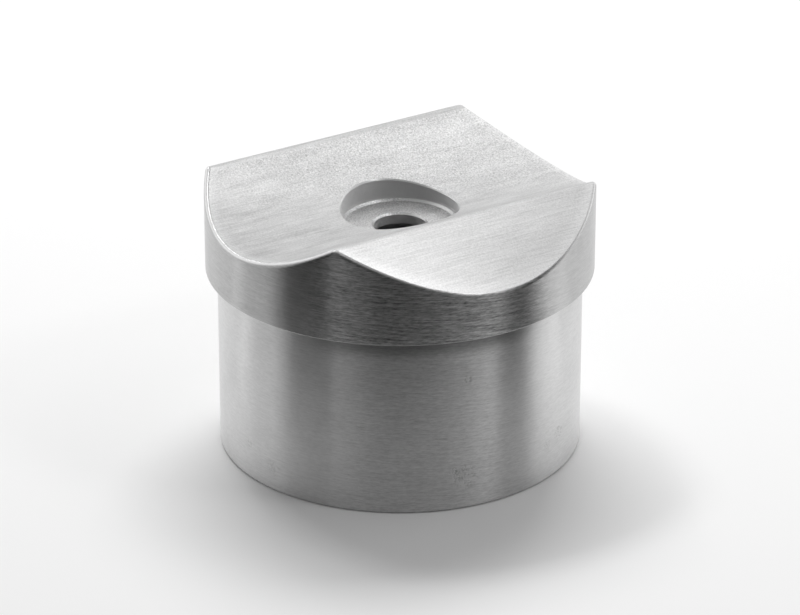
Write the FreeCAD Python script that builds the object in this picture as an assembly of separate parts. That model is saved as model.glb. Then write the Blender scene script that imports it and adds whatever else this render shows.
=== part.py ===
import FreeCAD, Part
import math
import os

V = FreeCAD.Vector

# Sizes in millimetres. The origin is the middle of the plug's lower end, +Z runs up
# the plug, and +X runs along the saddle, the way the cross tube lies.

# The post tube that the plug goes into, and the fit between them.
POST_TUBE_OD = 50.8
POST_TUBE_WALL = 1.27
PLUG_RADIAL_CLEARANCE = 0.28
PLUG_LENGTH = 24.5

# The cross tube that lies in the saddle.
CROSS_TUBE_OD = 50.8
SADDLE_RADIAL_CLEARANCE = 0.4
SADDLE_HEIGHT = 7.55
CREST_SPACING = 30.8

# The faces that fall away outside the two crests: their mean slope and gentle crown.
OUTER_SLOPE_DEG = 34.2
OUTER_CROWN_RADIUS = 55.0

# The counterbored screw hole in the middle of the saddle.
SCREW_DIAMETER = 6.35
SCREW_CLEARANCE = 0.55
COUNTERBORE_DIAMETER = 15.4
COUNTERBORE_DEPTH = 2.0
SEAT_THICKNESS = 1.5
SEAT_CORNER = 0.4

# The hollow under the saddle.
PLUG_WALL = 3.3
HOLLOW_CORNER_RADIUS = 3.0

# Rounded crests and rims, and square breaks on the turned edges.
CREST_ROUND = 0.8
RIM_ROUND = 0.55
SHOULDER_BREAK = 0.15
PLUG_END_BREAK = 0.3
MOUTH_BREAK = 0.15
HOLE_BREAK = 0.25

# How far a cutting shape reaches past the metal that it cuts.
OVERCUT = 5.0
# How near an edge has to lie to a size to be taken as lying on it.
ON_EDGE = 1e-4

# Values that follow from the sizes above.
COLLAR_RADIUS = POST_TUBE_OD / 2
PLUG_RADIUS = COLLAR_RADIUS - POST_TUBE_WALL - PLUG_RADIAL_CLEARANCE
HOLLOW_RADIUS = PLUG_RADIUS - PLUG_WALL
SADDLE_RADIUS = CROSS_TUBE_OD / 2 + SADDLE_RADIAL_CLEARANCE
SHOULDER_Z = PLUG_LENGTH
VALLEY_Z = SHOULDER_Z + SADDLE_HEIGHT
SADDLE_AXIS_Z = VALLEY_Z + SADDLE_RADIUS
CREST_Y = CREST_SPACING / 2
CREST_Z = SADDLE_AXIS_Z - math.sqrt(SADDLE_RADIUS**2 - CREST_Y**2)
SEAT_Z = VALLEY_Z - COUNTERBORE_DEPTH
CEILING_Z = SEAT_Z - SEAT_THICKNESS
HOLE_RADIUS = (SCREW_DIAMETER + SCREW_CLEARANCE) / 2
COUNTERBORE_RADIUS = COUNTERBORE_DIAMETER / 2


def line(a, b):
    return Part.LineSegment(a, b).toShape()


def arc(a, middle, b):
    return Part.Arc(a, middle, b).toShape()


def quarter(corner, a, b):
    """A quarter round from a to b that takes the place of a square corner."""
    centre = a + b - corner
    middle = centre + (corner - centre) * math.sqrt(0.5)
    return arc(a, middle, b)


def outline(points):
    return [line(a, b) for a, b in zip(points, points[1:] + points[:1])]


def turned(edges):
    """The solid that a closed half section in the XZ plane sweeps round the Z axis."""
    face = Part.Face(Part.Wire(edges))
    return face.revolve(V(0, 0, 0), V(0, 0, 1), 360)


def plug_and_collar():
    """The plain turned blank: plug, shoulder and collar, as high as the crests."""
    top_z = CREST_Z + OVERCUT
    return turned(outline([
        V(0, 0, 0),
        V(PLUG_RADIUS - PLUG_END_BREAK, 0, 0),
        V(PLUG_RADIUS, 0, PLUG_END_BREAK),
        V(PLUG_RADIUS, 0, SHOULDER_Z),
        V(COLLAR_RADIUS - SHOULDER_BREAK, 0, SHOULDER_Z),
        V(COLLAR_RADIUS, 0, SHOULDER_Z + SHOULDER_BREAK),
        V(COLLAR_RADIUS, 0, top_z),
        V(0, 0, top_z),
    ]))


def outer_face_arc(side):
    """The crowned line from a crest down past the collar's wall, on one side."""
    run = COLLAR_RADIUS - CREST_Y
    slope = math.radians(OUTER_SLOPE_DEG)
    half_chord = run / math.cos(slope) / 2
    crest = V(0, CREST_Y, CREST_Z)
    chord = V(0, math.cos(slope), -math.sin(slope))
    outward = V(0, math.sin(slope), math.cos(slope))
    sink = math.sqrt(OUTER_CROWN_RADIUS**2 - half_chord**2)
    centre = crest + chord * half_chord - outward * sink

    def at(y):
        return V(0, side * y, centre.z + math.sqrt(OUTER_CROWN_RADIUS**2 - (y - centre.y) ** 2))

    end_y = COLLAR_RADIUS + OVERCUT
    return at(CREST_Y), at((CREST_Y + end_y) / 2), at(end_y)


def top_cut():
    """What is taken off the blank's top: the saddle, the crests and the outer faces."""
    near_crest, near_middle, near_end = outer_face_arc(-1)
    far_crest, far_middle, far_end = outer_face_arc(1)
    roof_z = CREST_Z + 2 * OVERCUT
    near_roof = V(0, near_end.y, roof_z)
    far_roof = V(0, far_end.y, roof_z)
    section = Part.Wire([
        arc(near_end, near_middle, near_crest),
        arc(near_crest, V(0, 0, VALLEY_Z), far_crest),
        arc(far_crest, far_middle, far_end),
        line(far_end, far_roof),
        line(far_roof, near_roof),
        line(near_roof, near_end),
    ])
    reach = COLLAR_RADIUS + OVERCUT
    section.translate(V(-reach, 0, 0))
    cut = Part.Face(section).extrude(V(2 * reach, 0, 0))
    crests = [edge for edge in cut.Edges if all(on_crest(p) for p in samples(edge))]
    return cut.makeFillet(CREST_ROUND, crests)


def hollow():
    """The round space under the saddle, open at the plug's lower end."""
    mouth = V(HOLLOW_RADIUS + PLUG_END_BREAK, 0, 0)
    outside = mouth - V(0, 0, OVERCUT)
    wall_foot = V(HOLLOW_RADIUS, 0, PLUG_END_BREAK)
    corner = V(HOLLOW_RADIUS, 0, CEILING_Z)
    wall_top = corner - V(0, 0, HOLLOW_CORNER_RADIUS)
    ceiling_edge = corner - V(HOLLOW_CORNER_RADIUS, 0, 0)
    middle_low = V(0, 0, -OVERCUT)
    middle_high = V(0, 0, CEILING_Z)
    return turned([
        line(middle_low, outside),
        line(outside, mouth),
        line(mouth, wall_foot),
        line(wall_foot, wall_top),
        quarter(corner, wall_top, ceiling_edge),
        line(ceiling_edge, middle_high),
        line(middle_high, middle_low),
    ])


def screw_hole():
    """The through hole, the flat seat and the counterbore, with a small bevel between those two."""
    roof_z = CREST_Z + OVERCUT
    return turned(outline([
        V(0, 0, CEILING_Z - OVERCUT),
        V(HOLE_RADIUS, 0, CEILING_Z - OVERCUT),
        V(HOLE_RADIUS, 0, SEAT_Z - HOLE_BREAK),
        V(HOLE_RADIUS + HOLE_BREAK, 0, SEAT_Z),
        V(COUNTERBORE_RADIUS - SEAT_CORNER, 0, SEAT_Z),
        V(COUNTERBORE_RADIUS, 0, SEAT_Z + SEAT_CORNER),
        V(COUNTERBORE_RADIUS, 0, roof_z),
        V(0, 0, roof_z),
    ]))


def samples(edge):
    return edge.discretize(Number=7)


def on_crest(point):
    return abs(abs(point.y) - CREST_Y) < ON_EDGE and abs(point.z - CREST_Z) < ON_EDGE


def round_the_wall(body, radius, above_z):
    """The edges that run round an upright wall of this radius, all above a height."""
    found = []
    for edge in body.Edges:
        points = samples(edge)
        on_wall = all(abs(math.hypot(p.x, p.y) - radius) < ON_EDGE for p in points)
        upright = all(p.distanceToPoint(V(points[0].x, points[0].y, p.z)) < ON_EDGE for p in points)
        if on_wall and not upright and min(p.z for p in points) > above_z + ON_EDGE:
            found.append(edge)
    return found


def saddle_collar():
    body = plug_and_collar().cut(top_cut())
    rim = round_the_wall(body, COLLAR_RADIUS, SHOULDER_Z + SHOULDER_BREAK)
    body = body.makeFillet(RIM_ROUND, rim)
    body = body.cut(screw_hole())
    mouth = round_the_wall(body, COUNTERBORE_RADIUS, SEAT_Z)
    body = body.makeChamfer(MOUTH_BREAK, mouth)
    return body.cut(hollow())


os.makedirs("parts", exist_ok=True)
saddle_collar().exportStep("parts/saddle_collar.step")
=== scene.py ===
import math

import bpy
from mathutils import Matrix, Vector

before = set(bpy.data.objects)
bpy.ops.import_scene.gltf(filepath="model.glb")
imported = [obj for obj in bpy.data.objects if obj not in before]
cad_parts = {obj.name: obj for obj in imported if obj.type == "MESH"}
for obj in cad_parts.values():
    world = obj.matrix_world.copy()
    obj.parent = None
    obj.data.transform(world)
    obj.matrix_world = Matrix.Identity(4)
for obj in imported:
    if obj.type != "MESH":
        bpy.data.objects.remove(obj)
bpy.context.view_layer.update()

MM = 0.001

# Sizes of the part that the light and the finish refer to, in millimetres.
PLUG_RADIUS = 23.85
SHOULDER_Z = 24.5

# The camera, at the photograph's viewing angle.
AZIMUTH = math.radians(-32.70)
ELEVATION = math.radians(25.11)
DISTANCE = 558.8 * MM
TARGET = Vector((0.0, 0.0, 17.996 * MM))
LENS = 191.71
SENSOR = 36.0

# Level directions in the studio: to the camera's right, and from the object to the camera.
RIGHT = Vector((math.cos(AZIMUTH), math.sin(AZIMUTH), 0.0))
FRONT = Vector((math.sin(AZIMUTH), -math.cos(AZIMUTH), 0.0))
UP = Vector((0.0, 0.0, 1.0))


def at(right, front, up):
    """A place in the studio, given in millimetres from the middle of the object's foot."""
    return (RIGHT * right + FRONT * front + UP * up) * MM


def round_axis(bearing, away, up):
    """A place at a bearing to the right of the camera and a distance from the object's axis."""
    return at(away * math.sin(bearing), away * math.cos(bearing), up)


class Graph:
    """A short way to write shader nodes: each call adds one node and gives its output."""

    def __init__(self, tree):
        self.tree = tree
        tree.nodes.clear()

    def fill(self, socket, value):
        """Links a socket to another node's output, or sets it to a plain value."""
        if isinstance(value, bpy.types.NodeSocket):
            self.tree.links.new(value, socket)
        else:
            socket.default_value = value

    def node(self, kind, inputs=None, **settings):
        made = self.tree.nodes.new(kind)
        for name, value in settings.items():
            setattr(made, name, value)
        for name, value in (inputs or {}).items():
            self.fill(made.inputs[name], value)
        return made

    def math(self, operation, *values):
        return self.node("ShaderNodeMath", dict(enumerate(values)), operation=operation).outputs[0]

    def times(self, a, b):
        return self.math("MULTIPLY", a, b)

    def add(self, base, a, b):
        """The base plus a times b."""
        return self.math("MULTIPLY_ADD", a, b, base)

    def less(self, a, b):
        return self.math("SUBTRACT", a, b)

    def vector(self, operation, *values, **inputs):
        given = dict(enumerate(values)) | inputs
        made = self.node("ShaderNodeVectorMath", given, operation=operation)
        scalar = operation in ("DOT_PRODUCT", "LENGTH", "DISTANCE")
        return made.outputs["Value" if scalar else "Vector"]

    def ramp(self, value, low, high, start=0.0, end=1.0):
        """A smooth step from start, where value is low, to end, where it is high."""
        inputs = {"Value": value, "From Min": low, "From Max": high, "To Min": start, "To Max": end}
        made = self.node("ShaderNodeMapRange", inputs, interpolation_type="SMOOTHSTEP")
        return made.outputs["Result"]

    def blend(self, factor, a, b):
        made = self.node("ShaderNodeMix", {"Factor": factor, "A": a, "B": b}, data_type="FLOAT")
        return made.outputs["Result"]

    def blend_vectors(self, factor, a, b):
        """Its sockets share their names with those for plain numbers, so they are found by place."""
        made = self.node("ShaderNodeMix", {0: factor, 4: a, 5: b}, data_type="VECTOR")
        return made.outputs[1]

    def noise(self, vector, scale=1.0, detail=2.0, roughness=0.5):
        inputs = {"Vector": vector, "Scale": scale, "Detail": detail, "Roughness": roughness}
        return self.node("ShaderNodeTexNoise", inputs).outputs["Fac"]

    def even_noise(self, vector, **settings):
        """Noise that is as often below zero as above it."""
        return self.less(self.noise(vector, **settings), 0.5)

    def separate(self, vector):
        return self.node("ShaderNodeSeparateXYZ", {"Vector": vector}).outputs

    def join(self, x, y, z):
        return self.node("ShaderNodeCombineXYZ", {"X": x, "Y": y, "Z": z}).outputs[0]

    def to_output(self, shader, kind="ShaderNodeOutputMaterial"):
        self.tree.links.new(shader, self.node(kind).inputs["Surface"])


def new_material(name):
    material = bpy.data.materials.new(name)
    material.use_nodes = True
    return material, Graph(material.node_tree)


def mesh_object(name, points, faces):
    mesh = bpy.data.meshes.new(name)
    mesh.from_pydata([tuple(p) for p in points], [], faces)
    mesh.update()
    made = bpy.data.objects.new(name, mesh)
    bpy.context.scene.collection.objects.link(made)
    return made


def make_camera():
    data = bpy.data.cameras.new("photo_camera")
    data.lens = LENS
    data.sensor_width = SENSOR
    data.sensor_fit = "HORIZONTAL"
    data.clip_start = 1 * MM
    camera = bpy.data.objects.new("photo_camera", data)
    back = FRONT * math.cos(ELEVATION) + UP * math.sin(ELEVATION)
    camera.location = TARGET + back * DISTANCE
    camera.rotation_euler = back.to_track_quat("Z", "Y").to_euler()
    bpy.context.scene.collection.objects.link(camera)
    bpy.context.scene.camera = camera


WORLD_LEVEL = 0.34
FLOOR_REACH = 3000.0
FLOOR_COLOUR = (0.9, 0.9, 0.9, 1.0)


def make_world():
    world = bpy.data.worlds.new("studio")
    world.use_nodes = True
    graph = Graph(world.node_tree)
    shade = graph.node("ShaderNodeBackground", {"Color": (1, 1, 1, 1), "Strength": WORLD_LEVEL})
    graph.to_output(shade.outputs[0], "ShaderNodeOutputWorld")
    bpy.context.scene.world = world


def make_floor():
    reach = FLOOR_REACH * MM
    corners = [(-reach, -reach, 0), (reach, -reach, 0), (reach, reach, 0), (-reach, reach, 0)]
    floor = mesh_object("floor", corners, [(0, 1, 2, 3)])
    material, graph = new_material("pale_floor")
    graph.to_output(graph.node("ShaderNodeBsdfDiffuse", {"Color": FLOOR_COLOUR}).outputs[0])
    floor.data.materials.append(material)


# The cards round the studio. Each pair is a bearing in degrees to the right of the camera, as the plug's wall
# mirrors it, and the brightness there. Black flags are in front, and pale panels at the sides and behind.
CARDS = (
    (-180, 1.00), (-150, 1.28), (-116, 1.15), (-104, 0.72), (-86, 0.66),
    (-70, 0.02), (-46, 0.02), (-41, 0.20), (-12, 0.04), (6, 0.05), (22, 0.10), (60, 0.38),
    (64, 0.02), (81, 0.02), (94, 0.95), (110, 1.25), (130, 1.38), (180, 1.00),
)
# A colour ramp holds levels up to 1, so they are divided by this and multiplied again later.
CARD_SCALE = 1.5
# They stand at CARD_RADIUS. In front they also lie on the floor from CARD_OPENING outwards, which the picture
# reaches only at its two lower corners.
CARD_OPENING = 52.0
CARD_RADIUS = 262.0
CARD_HEIGHT = 220.0
CARD_LIFT = 0.05
LYING_TURN = 100.0
LYING_STEPS, STANDING_STEPS, LEANING_STEPS = 80, 120, 80
# The height on the plug for which the cards are cut, and how often their cut is worked out more closely.
MIRROR_HEIGHT = 14.0
MIRROR_ROUNDS = 5
# The cards on the right are turned a little further right where they are far away, for the collar above the
# plug. This sets in over these distances in millimetres, and over these bearings of the wall in radians.
SKEW = math.radians(4.0)
SKEW_NEAR, SKEW_FAR = 60.0, 80.0
SKEW_FIRST, SKEW_LAST = 0.3, 0.5
# Other panels, at the sides and behind, lean over the object above the standing ones. Their bearings are
# plain ones, and they fade to LEAN_LEVEL of their brightness at the top.
LEAN_CARDS = (
    (-180, 1.00), (-150, 1.28), (-112, 1.15), (-98, 0.72), (-76, 0.72), (-66, 0.02),
    (79, 0.02), (85, 0.95), (110, 1.25), (130, 1.38), (180, 1.00),
)
LEAN_FIRST, LEAN_LAST = 84.0, 290.0
LEAN_RADIUS = 90.0
LEAN_HEIGHT = 400.0
LEAN_LEVEL = 0.52


def swept(name, profile, first, last, steps):
    """A surface that a profile of (distance, height) sweeps round the object, between two bearings."""
    points, faces = [], []
    for i in range(steps + 1):
        turn = math.radians(first + (last - first) * i / steps)
        points += [round_axis(turn, away, up) for away, up in profile]
    n = len(profile)
    for i in range(steps):
        faces += [(i * n + k, i * n + k + 1, i * n + k + n + 1, i * n + k + n) for k in range(n - 1)]
    return mesh_object(name, points, faces)


def add_card(card, material):
    """A card that only reflections show."""
    material.cycles.emission_sampling = "NONE"
    card.data.materials.append(material)
    card.visible_camera = False
    card.visible_diffuse = False
    card.visible_transmission = False
    card.visible_shadow = False


def mirrored_bearing(graph, right, front, height):
    """Twice the bearing of the upright line of the plug's wall that mirrors a place on the cards.

    The wall is brushed round, so each of its upright lines mirrors a cone of directions to the camera. The
    cards are cut along those cones, so their edges show as upright lines in the wall. Each round goes half
    way to the next guess.
    """
    bearing = graph.math("ARCTAN2", right, front)
    away = graph.vector("LENGTH", graph.join(right, front, 0.0))
    drop = graph.less(height, MIRROR_HEIGHT * MM)
    line = graph.times(bearing, 0.5)
    for _ in range(MIRROR_ROUNDS):
        sine = graph.math("SINE", line)
        cosine = graph.math("COSINE", line)
        ray_right = graph.less(right, graph.times(sine, PLUG_RADIUS * MM))
        ray_front = graph.less(front, graph.times(cosine, PLUG_RADIUS * MM))
        stretch = graph.math("DIVIDE", graph.vector("LENGTH", graph.join(ray_right, ray_front, drop)), away)
        swing = graph.math("ARCSINE", graph.times(stretch, graph.times(sine, math.cos(ELEVATION))))
        guess = graph.less(bearing, swing)
        line = graph.times(graph.math("ADD", line, guess), 0.5)
    far = graph.ramp(away, SKEW_NEAR * MM, SKEW_FAR * MM)
    skew = graph.times(far, graph.ramp(line, SKEW_FIRST, SKEW_LAST, 0.0, SKEW))
    return graph.less(graph.times(line, 2.0), skew)


def card_material(name, levels, mirrored):
    """A glow that follows a card's bearing as the plug's wall mirrors it, or else its plain bearing."""
    material, graph = new_material(name)
    place = graph.node("ShaderNodeTexCoord").outputs["Object"]
    right = graph.vector("DOT_PRODUCT", place, tuple(RIGHT))
    front = graph.vector("DOT_PRODUCT", place, tuple(FRONT))
    height = graph.separate(place)["Z"]
    if mirrored:
        bearing = mirrored_bearing(graph, right, front, height)
    else:
        bearing = graph.math("ARCTAN2", right, front)
    turn = graph.add(0.5, bearing, 0.5 / math.pi)
    ramp = graph.node("ShaderNodeValToRGB", {"Fac": turn})
    stops = ramp.color_ramp.elements
    while len(stops) < len(levels):
        stops.new(0.5)
    for stop, (degrees, level) in zip(stops, levels):
        stop.position = (degrees + 180) / 360
        stop.color = (level / CARD_SCALE,) * 3 + (1,)
    top_level = CARD_SCALE * LEAN_LEVEL
    fade = graph.ramp(height, CARD_HEIGHT * MM, LEAN_HEIGHT * MM, CARD_SCALE, top_level)
    glow = graph.times(ramp.outputs["Color"], fade)
    graph.to_output(graph.node("ShaderNodeEmission", {"Strength": glow}).outputs[0])
    return material


def make_cards():
    mirrored = card_material("studio_flags", CARDS, True)
    plain = card_material("studio_panels", LEAN_CARDS, False)
    lying = (CARD_OPENING, CARD_LIFT), (CARD_RADIUS, CARD_LIFT)
    standing = (CARD_RADIUS, CARD_LIFT), (CARD_RADIUS, CARD_HEIGHT)
    leaning = (CARD_RADIUS, CARD_HEIGHT), (LEAN_RADIUS, LEAN_HEIGHT), (0.0, LEAN_HEIGHT)
    add_card(swept("cards_lying", lying, -LYING_TURN, LYING_TURN, LYING_STEPS), mirrored)
    add_card(swept("cards_standing", standing, -180, 180, STANDING_STEPS), mirrored)
    add_card(swept("cards_leaning", leaning, LEAN_FIRST, LEAN_LAST, LEANING_STEPS), plain)


def make_lamp(name, place, aim, size, power, reflected=True):
    """A softbox, with its size in millimetres and its power in watts."""
    data = bpy.data.lights.new(name, "AREA")
    data.shape = "RECTANGLE"
    data.size, data.size_y = (s * MM for s in size)
    data.energy = power
    lamp = bpy.data.objects.new(name, data)
    lamp.location = place
    lamp.rotation_euler = (place - aim).to_track_quat("Z", "Y").to_euler()
    lamp.visible_camera = False
    lamp.visible_glossy = reflected
    bpy.context.scene.collection.objects.link(lamp)


def make_lamps():
    """A large softbox that lights the floor, a smaller one above, and three small ones nearer the top."""
    middle = at(0, 0, 20)
    near_face = Vector((-12, -22, 31)) * MM
    far_crest = Vector((10, 12, 36)) * MM
    make_lamp("softbox_back", at(0, -325, 535), middle, (350, 235), 2.40, reflected=False)
    make_lamp("softbox_left", at(-180, -240, 590), middle, (110, 95), 0.66)
    make_lamp("softbox_top", Vector((110, -62, 246)) * MM, near_face, (100, 70), 0.022)
    make_lamp("softbox_far", Vector((132, 50, 251)) * MM, far_crest, (70, 70), 0.009)
    make_lamp("key_front", Vector((95, -147, 218)) * MM, near_face, (45, 45), 0.048)


# Where the finishes meet, in millimetres, at or near the edges of the faces that they belong to.
BORE_RADIUS = 7.8
WALL_RADIUS = 22.0
CREST_Y = 14.8
HOLLOW_RADIUS = 20.8
CEILING_Z = 28.6
SHOULDER_BLEND = 0.1
# They also meet where a face turns, between these parts of its normal: upwards, along X, and along Z.
TOP_TURN = 0.55, 0.72
RIM_TURN = 0.30, 0.55
EDGE_TURN = 0.40, 0.70

# How deep the brushing and the grain are, in millimetres, and how far they change the tone.
PLUG_DEPTH, PLUG_CONTRAST = 0.014, 0.60
COLLAR_DEPTH, COLLAR_CONTRAST = 0.040, 0.90
TOP_DEPTH, TOP_CONTRAST = 0.009, 0.60
GRAIN_DEPTH, GRAIN_CONTRAST = 0.012, 1.75
# Both walls are brushed more coarsely round this bearing from the camera. This sets in over these distances
# from the axis, measured that way.
COARSE_BEARING = math.radians(9.0)
COARSE_REACH = 18.5, 24.0
COARSE_PLUG, COARSE_COLLAR = 1.30, 3.80
# There the corner under the collar is darkened with painted shade too. This sets in over these distances,
# measured the same way, and over these drops below the shoulder.
CORNER_PAINTED_SHADE = 0.50
PAINTED_CORNER_REACH = 17.0, 22.5
PAINTED_CORNER_DROPS = 3.3, 0.8

# Tones. The collar's wall is darker than the plug's, and its rounded and broken edges carry a painted
# highlight.
STEEL_TONE = 0.62
TOP_TONE = 0.955
COLLAR_TONE, EDGE_PAINTED_HIGHLIGHT = 0.75, 1.15
# The top has a painted highlight along its rim, and painted shade on the saddle behind the near crest.
RIM_PAINTED_HIGHLIGHT = 0.14
RIM_HIGHLIGHT_RADII = 23.4, 24.9
CREST_PAINTED_SHADE = 0.21
CREST_PAINTED_SHADE_Y = -10.5, -6.0
# Grain and the counterbore's wall are lighter than brushed steel. On top, brushed steel shows some grain too.
GRAIN_LIFT, BORE_LIFT = 0.165, 0.20
BRUSHED_GRAIN = 0.35
CLOUD_CONTRAST = 0.16
SMEAR_CONTRAST = 0.45
FLAW_SHADE = 5.0

PLUG_ROUGHNESS = 0.33
COLLAR_ROUGHNESS = 0.29
TOP_ROUGHNESS = 0.33
BORE_ROUGHNESS = 0.60
LINE_ROUGHNESS = 0.05

# The patterns: the settings of their noise, and how closely they repeat along X, Y and Z.
FLECK_NOISE = {"scale": 1.1, "detail": 3.0, "roughness": 0.7}
PLUG_FLECK, COLLAR_FLECK = 4.5, 5.5
LINE_NOISE = {"detail": 3.0, "roughness": 0.6}
WALL_LINES, TOP_LINES = (0.22, 0.22, 5.0), (0.20, 5.5, 5.5)
CLOUD_NOISE = {"detail": 3.0, "roughness": 0.55}
CLOUDS = 0.10, 0.22, 0.22
SMEAR_NOISE = {"detail": 2.0, "roughness": 0.6}
SMEARS = 0.16, 0.75, 0.75
GRAIN_NOISE = {"scale": 4.6, "detail": 2.0, "roughness": 0.6}
SPECKLE_NOISE = {"Scale": 9.0, "Detail": 1.0}
BLOT_NOISE = {"scale": 2.4, "detail": 1.0}
BLOT_RANGE = 0.47, 0.62
# The long lines on the walls slant by this much along X, and take this share of the brushing on each wall.
LINE_SLANT = 0.08
PLUG_LINES, COLLAR_LINES = 0.35, 0.45
# Grain sets in over these distances, in millimetres, along a slanting way across the saddle that wanders.
GRAIN_WAY = 0.35, 0.8
GRAIN_REACH = -2.0, 9.0
WANDER_NOISE = {"scale": 0.15, "detail": 2.0}
WANDER = 8.0
# How far grain takes away the brushing's direction.
GRAIN_SPREAD = 0.9

# Small flaws in the plug's wall: bearing from the camera in degrees, then height, reach and depth in mm.
FLAWS = (
    (20.8, 18.3, 0.8, 0.030), (20.4, 4.6, 2.2, 0.024), (16.5, 5.6, 0.7, 0.030), (59.5, 5.9, 1.3, 0.028),
    (53.0, 5.2, 0.9, 0.020), (-54.6, 5.0, 0.7, 0.028), (-43.0, 3.2, 1.3, 0.022),
)


class Zones:
    """Where a point of the part lies, in millimetres, and how far each finish reaches it, from 0 to 1."""

    def __init__(self, graph):
        place = graph.node("ShaderNodeTexCoord").outputs["Object"]
        self.mm = graph.vector("SCALE", place, Scale=1 / MM)
        axis = graph.separate(self.mm)
        self.x, self.y, self.z = axis["X"], axis["Y"], axis["Z"]
        self.radius = graph.vector("LENGTH", graph.join(self.x, self.y, 0.0))
        ahead = round_axis(COARSE_BEARING, 1.0, 0.0) / MM
        self.ahead = graph.vector("DOT_PRODUCT", self.mm, tuple(ahead))

        facing = graph.separate(graph.node("ShaderNodeNewGeometry").outputs["Normal"])
        along = graph.ramp(graph.math("ABSOLUTE", facing["X"]), *RIM_TURN, 1.0, 0.0)
        self.top = graph.times(graph.ramp(facing["Z"], *TOP_TURN), along)
        self.edge = graph.ramp(graph.math("ABSOLUTE", facing["Z"]), *EDGE_TURN)
        self.collar = graph.ramp(self.z, SHOULDER_Z - SHOULDER_BLEND, SHOULDER_Z + SHOULDER_BLEND)
        self.outside = graph.math("GREATER_THAN", self.radius, WALL_RADIUS)
        between = graph.math("LESS_THAN", graph.math("ABSOLUTE", self.y), CREST_Y)
        self.saddle = graph.times(self.top, between)

        bore = graph.math("LESS_THAN", self.radius, BORE_RADIUS)
        self.bore_wall = graph.blend(self.edge, bore, 0.0)
        low = graph.math("LESS_THAN", self.z, CEILING_Z)
        hollow = graph.times(graph.math("LESS_THAN", self.radius, HOLLOW_RADIUS), low)
        self.grainy = graph.math("MAXIMUM", self.far_saddle(graph), graph.math("MAXIMUM", bore, hollow))

    def far_saddle(self, graph):
        """The saddle's far side, where the brushing didn't reach."""
        along, across = GRAIN_WAY
        way = graph.add(graph.times(self.y, across), self.x, along)
        way = graph.add(way, graph.even_noise(self.mm, **WANDER_NOISE), WANDER)
        return graph.times(graph.ramp(way, *GRAIN_REACH), self.saddle)


def flaw_depth(graph, zones):
    """How deep each point lies in the flaws, in millimetres below the wall."""
    blots = graph.ramp(graph.noise(zones.mm, **BLOT_NOISE), *BLOT_RANGE)
    total = 0.0
    for bearing, up, reach, depth in FLAWS:
        middle = round_axis(math.radians(bearing), PLUG_RADIUS, up) / MM
        away = graph.vector("DISTANCE", zones.mm, tuple(middle))
        total = graph.math("ADD", total, graph.ramp(away, 0.5 * reach, reach, depth, 0.0))
    return graph.times(blots, total)


def brush_lines(graph, zones):
    """Brush lines round the walls, and along the saddle and the faces beside it."""
    upright = graph.times(zones.z, graph.blend(zones.collar, PLUG_FLECK, COLLAR_FLECK))
    flecks = graph.noise(graph.join(zones.x, zones.y, upright), **FLECK_NOISE)
    slanted = graph.join(zones.x, zones.y, graph.add(zones.z, zones.x, LINE_SLANT))
    long_lines = graph.noise(graph.vector("MULTIPLY", slanted, WALL_LINES), **LINE_NOISE)
    walls = graph.blend(graph.blend(zones.collar, PLUG_LINES, COLLAR_LINES), flecks, long_lines)
    tops = graph.noise(graph.vector("MULTIPLY", zones.mm, TOP_LINES), **LINE_NOISE)
    return graph.less(graph.blend(zones.top, walls, tops), 0.5)


def across_the_brushing(graph, zones):
    """The way that reflections spread. Grain has no direction of its own."""
    speckle = graph.node("ShaderNodeTexNoise", {"Vector": zones.mm} | SPECKLE_NOISE).outputs["Color"]
    any_way = graph.vector("SUBTRACT", speckle, (0.5, 0.5, 0.5))
    across = graph.blend_vectors(zones.top, (0.0, 0.0, 1.0), (0.0, 1.0, 0.0))
    return graph.blend_vectors(graph.times(zones.grainy, GRAIN_SPREAD), across, any_way)


def line_contrast(graph, zones):
    """How far the brush lines change the tone. They fade out on the collar's edges and in the grain."""
    coarse = graph.ramp(zones.ahead, *COARSE_REACH)
    on_plug = graph.blend(coarse, PLUG_CONTRAST, COARSE_PLUG)
    on_collar = graph.blend(coarse, COLLAR_CONTRAST, COARSE_COLLAR)
    on_collar = graph.blend(zones.edge, on_collar, 0.0)
    contrast = graph.blend(zones.top, graph.blend(zones.collar, on_plug, on_collar), TOP_CONTRAST)
    return graph.times(contrast, graph.less(1.0, zones.grainy))


def plain_tone(graph, zones):
    """The tone of each face without its pattern, with a painted highlight on the collar's rounded and broken
    edges.
    """
    # The collar's rounded and broken edges are brightened with a painted highlight.
    collar = graph.blend(zones.edge, STEEL_TONE * COLLAR_TONE, STEEL_TONE * EDGE_PAINTED_HIGHLIGHT)
    wall = graph.blend(graph.times(zones.collar, zones.outside), STEEL_TONE, collar)
    return graph.blend(zones.top, wall, STEEL_TONE * TOP_TONE)


def painted_corner_shade(graph, zones):
    """How dark the painted shade in the corner under the collar is."""
    low, high = (SHOULDER_Z - drop for drop in PAINTED_CORNER_DROPS)
    near = graph.ramp(zones.ahead, *PAINTED_CORNER_REACH, 0.0, CORNER_PAINTED_SHADE)
    return graph.times(graph.times(graph.ramp(zones.z, low, high), near), graph.less(1.0, zones.collar))


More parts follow.
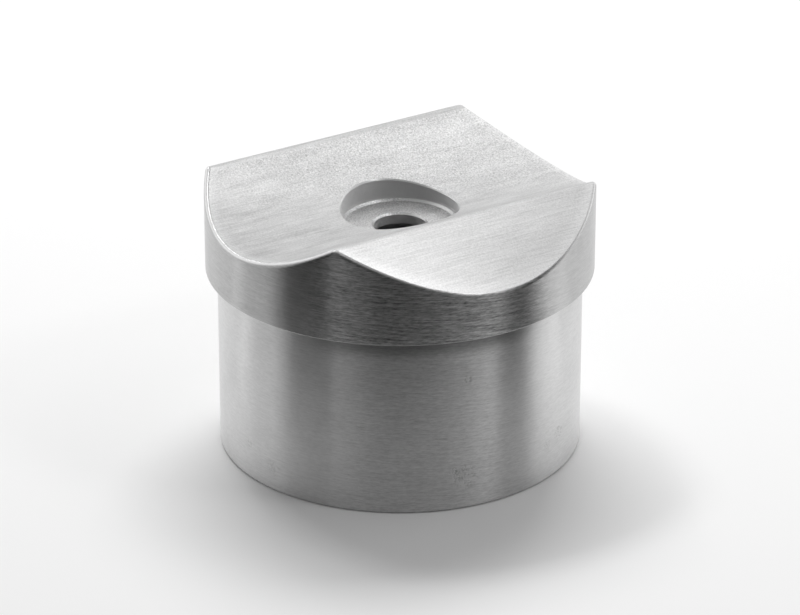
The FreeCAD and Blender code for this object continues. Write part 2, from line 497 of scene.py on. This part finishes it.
def steel_colour(graph, zones, lines, grain, flaws):
    clouds = graph.even_noise(graph.vector("MULTIPLY", zones.mm, CLOUDS), **CLOUD_NOISE)
    smears = graph.even_noise(graph.vector("MULTIPLY", zones.mm, SMEARS), **SMEAR_NOISE)
    specks = graph.times(graph.blend(zones.grainy, BRUSHED_GRAIN, 1.0), zones.top)
    tone = graph.add(1.0, lines, line_contrast(graph, zones))
    tone = graph.add(tone, clouds, CLOUD_CONTRAST)
    tone = graph.add(tone, graph.times(zones.saddle, smears), SMEAR_CONTRAST)
    tone = graph.add(tone, graph.times(grain, specks), GRAIN_CONTRAST)
    tone = graph.add(tone, flaws, -FLAW_SHADE)
    tone = graph.add(tone, zones.grainy, GRAIN_LIFT)
    tone = graph.add(tone, zones.bore_wall, BORE_LIFT)
    # Painted highlight along the rim of the top.
    tone = graph.add(tone, zones.top, graph.ramp(zones.radius, *RIM_HIGHLIGHT_RADII, 0.0, RIM_PAINTED_HIGHLIGHT))
    # Painted shade on the saddle behind the near crest.
    painted_crest_shade = graph.ramp(zones.y, *CREST_PAINTED_SHADE_Y, CREST_PAINTED_SHADE, 0.0)
    tone = graph.less(tone, graph.times(zones.saddle, painted_crest_shade))
    # Painted shade in the corner under the collar.
    tone = graph.times(tone, graph.less(1.0, painted_corner_shade(graph, zones)))
    tone = graph.times(tone, plain_tone(graph, zones))
    return graph.node("ShaderNodeCombineColor", {"Red": tone, "Green": tone, "Blue": tone}).outputs[0]


def steel_roughness(graph, zones, lines):
    walls = graph.blend(zones.collar, PLUG_ROUGHNESS, COLLAR_ROUGHNESS)
    rough = graph.blend(zones.top, walls, TOP_ROUGHNESS)
    return graph.add(graph.blend(zones.bore_wall, rough, BORE_ROUGHNESS), lines, LINE_ROUGHNESS)


def steel_bump(graph, zones, lines, grain, flaws):
    walls = graph.blend(zones.edge, graph.blend(zones.collar, PLUG_DEPTH, COLLAR_DEPTH), 0.0)
    height = graph.times(lines, graph.blend(zones.top, walls, TOP_DEPTH))
    height = graph.add(height, grain, graph.times(zones.grainy, GRAIN_DEPTH))
    height = graph.less(height, flaws)
    return graph.node("ShaderNodeBump", {"Strength": 1.0, "Distance": MM, "Height": height}).outputs[0]


def make_steel():
    material, graph = new_material("satin_brushed_steel")
    zones = Zones(graph)
    lines = brush_lines(graph, zones)
    grain = graph.even_noise(zones.mm, **GRAIN_NOISE)
    flaws = flaw_depth(graph, zones)
    steel = graph.node("ShaderNodeBsdfPrincipled", {
        "Base Color": steel_colour(graph, zones, lines, grain, flaws),
        "Metallic": 1.0,
        "Roughness": steel_roughness(graph, zones, lines),
        "Anisotropic": 1.0,
        "Tangent": across_the_brushing(graph, zones),
        "Normal": steel_bump(graph, zones, lines, grain, flaws),
    })
    graph.to_output(steel.outputs[0])
    return material


make_camera()
make_world()
make_floor()
make_cards()
make_lamps()

steel = make_steel()
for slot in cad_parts["saddle_collar"].material_slots:
    slot.material = steel

bpy.context.scene.view_settings.view_transform = "Standard"
